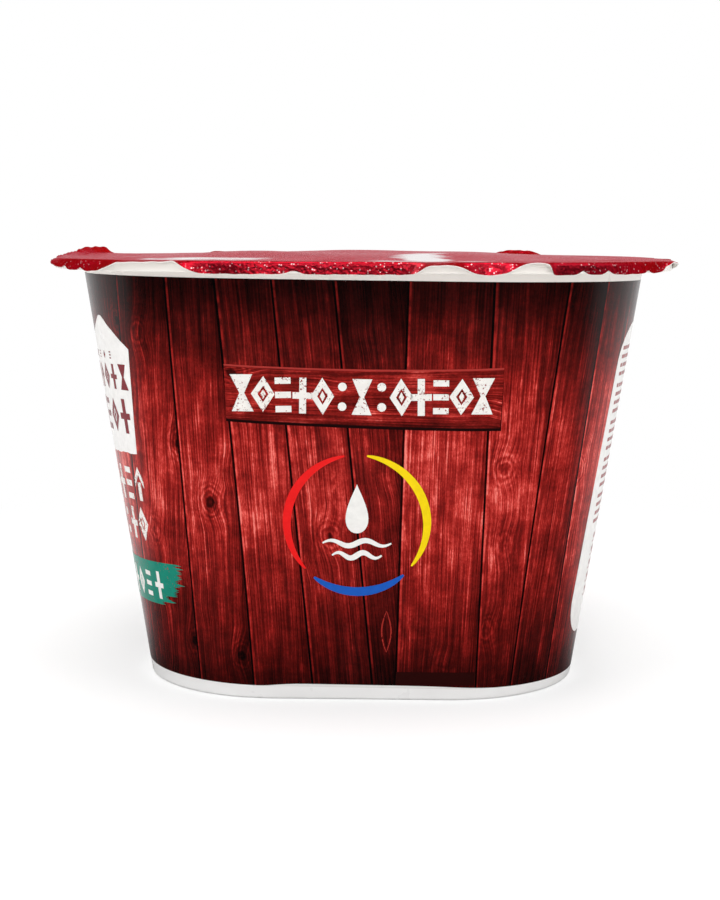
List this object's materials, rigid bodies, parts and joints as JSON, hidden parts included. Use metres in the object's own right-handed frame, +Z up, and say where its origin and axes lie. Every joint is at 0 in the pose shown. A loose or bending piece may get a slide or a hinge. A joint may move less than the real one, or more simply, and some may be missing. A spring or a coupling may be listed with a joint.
{
  "type": "sour cream pot",
  "caption": "Shut tapered pot with rounded-square plan, wrap-round printed label, foot ring, lipped flange and a foil lid crimped over the lip.",
  "frame": {"origin": "middle of the pot's footprint, on the surface that it stands on", "axes": "+Z up; -X is the main display side, -Y the side face with the name board, +X the information side"},
  "size_m": [0.107, 0.1069, 0.0718],
  "materials": {
    "moulding": "smooth moulded, low gloss",
    "label_film": "glossy printed film",
    "lid_foil": "lacquered embossed foil"
  },
  "bodies": {
    "root": {"pot": "moulding", "label": "label_film", "foil_lid": "lid_foil"}
  },
  "joints": []
}
